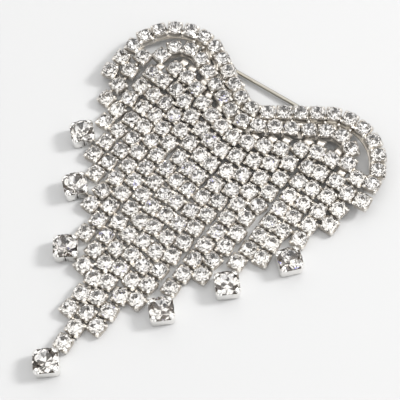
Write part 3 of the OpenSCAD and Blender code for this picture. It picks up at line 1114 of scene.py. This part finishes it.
@dataclass
class EndSetting:
    """Large square setting with a round stone, hung by a corner below a strand."""

    name: str
    x: float
    y: float
    turn: float
    seam_side: int
    width: float = 5.1
    wall: float = 3.2
    corner_r: float = 0.8
    rim_drop: float = 0.26
    slot_half: float = 1.05
    slot_height: float = 0.62
    seam_half: float = 0.06
    seam_depth: float = 0.12
    sway: Sway = Sway()
    stone: CutStone = CutStone(2.6, 1.0, 2.2, 0.56, painted_dark_facets=(1, 3, 6, 9, 13, 17, 20))

    def columns(self) -> tuple[np.ndarray, np.ndarray, np.ndarray]:
        """Columns of the rounded square, closer together near the seam and on the corners.

        Returns:
            Outline, how far each column belongs to a claw, and the distance of the columns of
            the seam's side from its middle.
        """
        a, r = self.width / 2, self.corner_r
        up = np.array([0.0, 0.1, 0.3, 0.5, 0.7, 0.85, 1.1, 1.4])
        arc = np.radians(np.linspace(0, 90, 9))
        corner = np.column_stack([a - r + r * np.cos(arc), a - r + r * np.sin(arc)])
        quarter = np.concatenate([np.column_stack([np.full(8, a), up]), corner,
                                  np.column_stack([up[:0:-1], np.full(7, a)])])
        outline = four_sides(quarter)
        angle = np.degrees(np.arctan2(outline[:, 1], outline[:, 0])) % 90
        share = ease((12 - np.abs(angle - 45)) / 5)
        turned = outline @ turn_z(-90 * self.seam_side)[0, :2, :2].T
        off = np.where(turned[:, 0] > a - 0.01, turned[:, 1], 9.0)
        return outline, share, off

    def metal(self) -> Shape:
        """The setting as one closed grid.

        Rows: base, wall, rim, claw back, claw tip, under the claw, inner wall, floor. On the
        seam's side the base rises in a half ellipse at the wire's slot, and a dark seam runs
        up from it. The rim stays 0.26 mm below the stone's edge, and four small claws lean in
        over the stone at the corners.

        Returns:
            The setting, its base at height 0.
        """
        outline, share, off = self.columns()
        radius = np.linalg.norm(outline, axis=1)
        unit = outline / radius[:, None]
        arch = self.slot_height * np.sqrt(np.clip(1 - (off / self.slot_half) ** 2, 0, 1))
        seam = unit * np.where(np.abs(off) < 0.02, self.seam_depth, 0.0)[:, None]
        rim = self.wall - self.rim_drop
        ones = np.ones(len(outline))
        # Place in plan and height of the outer rows, from the base to the rim.
        rows = [
            (outline * 0.95, arch), (outline * 0.98, np.maximum(0.14, arch)),
            (outline * 0.985 - seam, np.maximum(0.5, arch)),
            (outline - seam, (rim - 0.2) * ones), (outline - seam, (rim - 0.06) * ones),
            (outline * 0.985, rim * ones)]
        # Radius between the claws, radius on a claw, height above the rim, rise on a claw.
        for low_r, claw_r, height, claw_rise in (
                (radius * 0.97, 2.86, 0.0, 0.45), (2.44, 2.5, 0.0, 0.72),
                (2.42, 2.26, 0.0, 0.76), (2.41, 2.3, 0.0, 0.55), (2.3, 2.3, -0.1, 0.0)):
            rows.append((unit * ((1 - share) * low_r + share * claw_r)[:, None],
                         rim + height + claw_rise * share))
        rows += [(unit * 2.2, 1.9 * ones), (unit * 1.2, 0.9 * ones)]
        grid = np.stack([np.column_stack([xy, z]) for xy, z in rows])
        coat = np.full((len(rows) - 1, len(outline)), CastCoat.SMOOTH)
        middle = (off + np.roll(off, -1)) / 2
        # The seam is a dark joint; the slot, the rim between the claws and the inside under the
        # stone are painted shade.
        coat[:2, np.abs(middle) < self.slot_half] = CastCoat.SEAM_AND_PAINTED_SHADE
        coat[2:5, np.abs(middle) < self.seam_half] = CastCoat.SEAM_AND_PAINTED_SHADE
        coat[5:, share < 0.1] = CastCoat.SEAM_AND_PAINTED_SHADE
        coat[9:] = CastCoat.SEAM_AND_PAINTED_SHADE
        return Shape.of_grid(grid, coat, caps=(True, True))

    def build(self, finishes: Finishes) -> list[bpy.types.Object]:
        """Builds the setting and its stone as two pieces.

        The stone's turn in its setting changes with the setting's x, so that no two stones
        show the same facets.

        Args:
            finishes: the brooch's materials.

        Returns:
            The setting and the stone.
        """
        x = self.x + float(self.sway.drift(self.y))
        metal = self.metal().moved(turn_z(self.turn)[0], (x, self.y, 0.0))
        stone = self.stone.shape().moved(turn_z(self.turn + 11.0 + 7.0 * self.x)[0],
                                         (x, self.y, self.wall))
        return [settle(metal.piece(f"end_setting_{self.name}_cast", finishes.cast()),
                       f"end_setting_{self.name}"),
                settle(stone.piece(f"end_stone_{self.name}_cut", finishes.set_chain()),
                       f"end_stone_{self.name}")]


@dataclass
class EndSettings:
    """The seven large settings."""

    # Name, plan x and y, turn in degrees, and the side that has the seam, by quarter turns.
    table: tuple[tuple[str, float, float, float, int], ...] = (
        ("centre", -0.1, 0.0, 40.0, 1), ("left_3", -11.9, 21.5, 36.0, 3),
        ("right_3", 12.35, 21.5, 42.0, 1), ("left_5", -19.35, 34.0, 48.0, 3),
        ("right_5", 19.85, 33.5, 41.0, 1), ("left_7", -26.7, 45.1, 46.0, 3),
        ("right_7", 26.7, 45.1, 48.0, 1))

    def build(self, finishes: Finishes) -> list[bpy.types.Object]:
        """Builds every setting with its stone."""
        return [obj for row in self.table for obj in EndSetting(*row).build(finishes)]


@dataclass
class PinStem:
    """The hinged pin stem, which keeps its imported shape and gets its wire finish."""

    node: str = "pin_stem"

    def build(self, finishes: Finishes) -> None:
        """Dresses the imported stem.

        Args:
            finishes: the brooch's materials.
        """
        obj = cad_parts[self.node]
        obj.data.materials.clear()
        obj.data.materials.append(finishes.wire)
        LOG.info("%s: packed shape, drawn wire finish", self.node)


@dataclass
class Studio:
    """Pale board, soft light and the camera at the photograph's angle."""

    azimuth: float = -55.58
    elevation: float = 64.11
    focal_px: float = 992.0
    distance: float = 212.0
    target: tuple[float, float, float] = (2.35, 47.0, 0.0)
    frame_px: float = 400.0
    sensor_mm: float = 36.0
    board_half: float = 1000.0
    board_drop: float = 0.02
    tent: float = 2.3
    opening_rise: float = 22.0
    opening_deg: tuple[float, float] = (21.0, 27.0)
    key_watts: float = 26.0
    key_azimuth: float = 50.0
    key_elevation: float = 38.0
    key_size_m: float = 0.35
    key_distance_m: float = 1.6

    def camera(self) -> None:
        """Camera without shift: its lens is focal_px over the frame, times the sensor."""
        data = bpy.data.cameras.new("view")
        data.sensor_width = self.sensor_mm
        data.lens = self.focal_px / self.frame_px * self.sensor_mm
        data.clip_start, data.clip_end = 0.01, 10.0
        cam = bpy.data.objects.new("view", data)
        bpy.context.scene.collection.objects.link(cam)
        aim = Vector((np.array(self.target) - PLAN_MID) * MM)
        cam.location = aim + Vector(toward(self.azimuth, self.elevation)) * self.distance * MM
        cam.rotation_euler = (aim - cam.location).to_track_quat("-Z", "Y").to_euler()
        bpy.context.scene.camera = cam

    def board(self, finishes: Finishes) -> None:
        """The board: a flat grid of 2 m, its middle under the brooch, 0.02 mm below it.

        That is too little to show, and keeps its face apart from the faces that lie on it.

        Args:
            finishes: the materials, the board's among them.
        """
        line = np.linspace(-self.board_half, self.board_half, 9)
        xx, yy = np.meshgrid(line, line)
        grid = np.stack([xx, yy, np.full_like(xx, -self.board_drop)], -1) + PLAN_MID
        Shape.of_grid(grid, smooth=False, round_u=False).piece("board",
                                                                        [finishes.board])

    def key_light(self) -> None:
        """A square soft light, aimed at the brooch from behind it on the right."""
        data = bpy.data.lights.new("key", "AREA")
        data.shape, data.size, data.energy = "SQUARE", self.key_size_m, self.key_watts
        obj = bpy.data.objects.new("key", data)
        bpy.context.scene.collection.objects.link(obj)
        place = Vector(toward(self.key_azimuth, self.key_elevation))
        obj.location = place * self.key_distance_m
        obj.rotation_euler = (-place).to_track_quat("-Z", "Y").to_euler()

    def surroundings(self) -> None:
        """World of a light tent.

        Its cloth is white overhead and greyer towards the ground, and has dark gaps where
        its panels meet. The opening below the lens, at 22 degrees above the ground, is dark.
        The hem along the ground, up to three degrees, is plain and pale.
        """
        world = bpy.data.worlds.new("light_tent")
        bpy.context.scene.world = world
        world.use_nodes = True
        tree = world.node_tree
        tree.nodes.clear()
        way = add_node(tree, "ShaderNodeTexCoord").outputs["Generated"]
        height = add_node(tree, "ShaderNodeSeparateXYZ", None, {"Vector": way}).outputs["Z"]
        fade = add_node(tree, "ShaderNodeMapRange",
                        {"From Min": 0.0, "From Max": 0.6, "To Min": 0.33, "To Max": 1.0},
                        {"Value": height})
        lens = add_node(tree, "ShaderNodeVectorMath",
                        {"operation": "DOT_PRODUCT",
                         1: tuple(toward(self.azimuth, self.opening_rise))}, {0: way})
        inside, outside = (math.cos(math.radians(deg)) for deg in self.opening_deg)
        hole = add_node(tree, "ShaderNodeMapRange",
                        {"From Min": outside, "From Max": inside, "To Min": 1.0,
                         "To Max": 0.03}, {"Value": lens.outputs["Value"]})
        noise = add_node(tree, "ShaderNodeTexNoise",
                         {"Scale": 3.6, "Detail": 1.0, "Roughness": 0.4}, {"Vector": way})
        gaps = add_node(tree, "ShaderNodeMapRange",
                        {"From Min": 0.41, "From Max": 0.47, "To Min": 0.18, "To Max": 1.0},
                        {"Value": noise.outputs["Fac"]})
        both = add_node(tree, "ShaderNodeMath", {"operation": "MULTIPLY"},
                        {0: fade.outputs["Result"], 1: hole.outputs["Result"]})
        level = add_node(tree, "ShaderNodeMath", {"operation": "MULTIPLY"},
                         {0: both.outputs["Value"], 1: gaps.outputs["Result"]})
        hem = add_node(tree, "ShaderNodeMapRange",
                       {"From Min": 0.03, "From Max": 0.08, "To Min": 0.4, "To Max": 0.0},
                       {"Value": height})
        cloth = add_node(tree, "ShaderNodeMath", {"operation": "MAXIMUM"},
                         {0: level.outputs["Value"], 1: hem.outputs["Result"]})
        tint = add_node(tree, "ShaderNodeMix",
                        {"data_type": "RGBA", MIX_A: linear("1B1714"), MIX_B: linear("FFFFFF")},
                        {"Factor": cloth.outputs["Value"]})
        back = add_node(tree, "ShaderNodeBackground", {"Strength": self.tent},
                        {"Color": tint.outputs[MIX_RESULT]})
        add_node(tree, "ShaderNodeOutputWorld", None, {"Surface": back.outputs["Background"]})

    def build(self, finishes: Finishes) -> None:
        """Sets up board, surroundings, light, camera and plain colour handling.

        Args:
            finishes: the materials, the board's among them.
        """
        self.board(finishes)
        self.surroundings()
        self.key_light()
        self.camera()
        bpy.context.scene.view_settings.view_transform = "Standard"
        bpy.context.scene.view_settings.look = "None"


def main() -> None:
    """Builds the pieces in order, then the studio."""
    logging.basicConfig(level=logging.INFO, format="%(name)s: %(message)s")
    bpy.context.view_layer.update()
    finishes = Finishes()
    made = ArchFrame().build(finishes) + Fringe().build(finishes)
    made += EndSettings().build(finishes)
    PinStem().build(finishes)
    LOG.info("%d new pieces", len(made))
    Studio().build(finishes)


if __name__ == "__main__":
    main()
